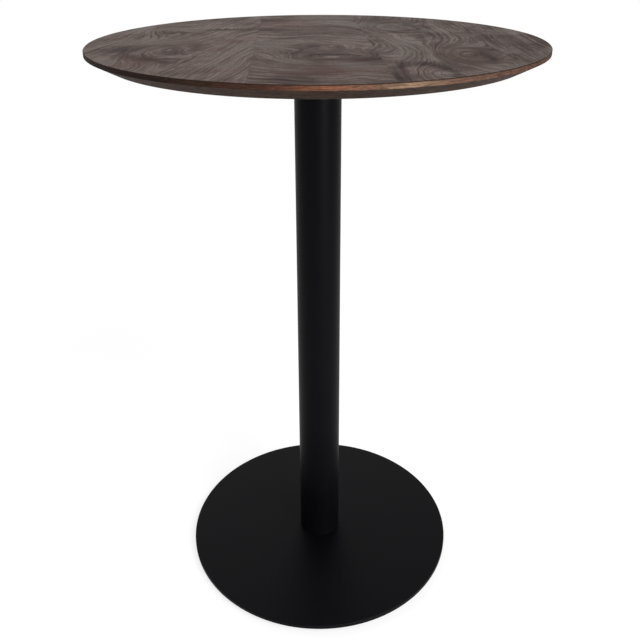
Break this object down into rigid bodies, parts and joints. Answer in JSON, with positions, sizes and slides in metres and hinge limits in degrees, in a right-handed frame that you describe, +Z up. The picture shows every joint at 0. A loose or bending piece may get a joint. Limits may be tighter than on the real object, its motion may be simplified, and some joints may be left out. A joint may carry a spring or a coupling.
{
  "type": "bar table",
  "caption": "Tall round bar table: edge-glued hardwood top with a bevelled rim on a round steel column, with a flat round base plate on levelling feet.",
  "frame": {"origin": "on the floor, under the middle of the column", "axes": "+Z up; +Y along the staves of the top, away from the viewer in the picture; +X across the staves, to the viewer's right"},
  "size_m": [0.8, 0.8, 1.11],
  "materials": {
    "stained_hardwood": "dark stain under matte lacquer, warm brown at the rim",
    "black_powder_coat": "fine matte powder coat on steel",
    "bare_steel": "plain cut steel inside the column",
    "zinc_plated_steel": "bright zinc plating",
    "blackened_steel": "black oxide, slightly oily",
    "black_nylon": "moulded nylon"
  },
  "bodies": {
    "table": {"top_board_1": "stained_hardwood", "top_board_2": "stained_hardwood", "top_board_3": "stained_hardwood", "top_board_4": "stained_hardwood", "top_board_5": "stained_hardwood", "head_screws": "blackened_steel", "head_plate": "black_powder_coat", "column_tube": "black_powder_coat", "foot_disc": "bare_steel", "column_welds": "black_powder_coat", "base_plate": "black_powder_coat", "base_screw": "blackened_steel"},
    "pad_1": {"foot_pad_1": "black_nylon"},
    "pad_2": {"foot_pad_2": "black_nylon"},
    "pad_3": {"foot_pad_3": "black_nylon"},
    "pad_4": {"foot_pad_4": "black_nylon"},
    "stud_1": {"foot_stud_1": "zinc_plated_steel"},
    "stud_2": {"foot_stud_2": "zinc_plated_steel"},
    "stud_3": {"foot_stud_3": "zinc_plated_steel"},
    "stud_4": {"foot_stud_4": "zinc_plated_steel"}
  },
  "joints": [
    {"name": "pad_1_lift", "type": "slide", "parent": "table", "child": "pad_1", "axis": [0, 0, 1], "range_m": [-0.0025, 0]},
    {"name": "stud_1_turn", "type": "hinge", "parent": "pad_1", "child": "stud_1", "pos_m": [0.16971, 0.16971, 0], "axis": [0, 0, 1], "range_deg": [-720, 0]},
    {"name": "pad_2_lift", "type": "slide", "parent": "table", "child": "pad_2", "axis": [0, 0, 1], "range_m": [-0.0025, 0]},
    {"name": "stud_2_turn", "type": "hinge", "parent": "pad_2", "child": "stud_2", "pos_m": [-0.16971, 0.16971, 0], "axis": [0, 0, 1], "range_deg": [-720, 0]},
    {"name": "pad_3_lift", "type": "slide", "parent": "table", "child": "pad_3", "axis": [0, 0, 1], "range_m": [-0.0025, 0]},
    {"name": "stud_3_turn", "type": "hinge", "parent": "pad_3", "child": "stud_3", "pos_m": [-0.16971, -0.16971, 0], "axis": [0, 0, 1], "range_deg": [-720, 0]},
    {"name": "pad_4_lift", "type": "slide", "parent": "table", "child": "pad_4", "axis": [0, 0, 1], "range_m": [-0.0025, 0]},
    {"name": "stud_4_turn", "type": "hinge", "parent": "pad_4", "child": "stud_4", "pos_m": [0.16971, -0.16971, 0], "axis": [0, 0, 1], "range_deg": [-720, 0]}
  ],
  "couplings": [
    {"joint": "pad_1_lift", "follows": "stud_1_turn", "m_per_rad": 0.00019894},
    {"joint": "pad_2_lift", "follows": "stud_2_turn", "m_per_rad": 0.00019894},
    {"joint": "pad_3_lift", "follows": "stud_3_turn", "m_per_rad": 0.00019894},
    {"joint": "pad_4_lift", "follows": "stud_4_turn", "m_per_rad": 0.00019894}
  ]
}
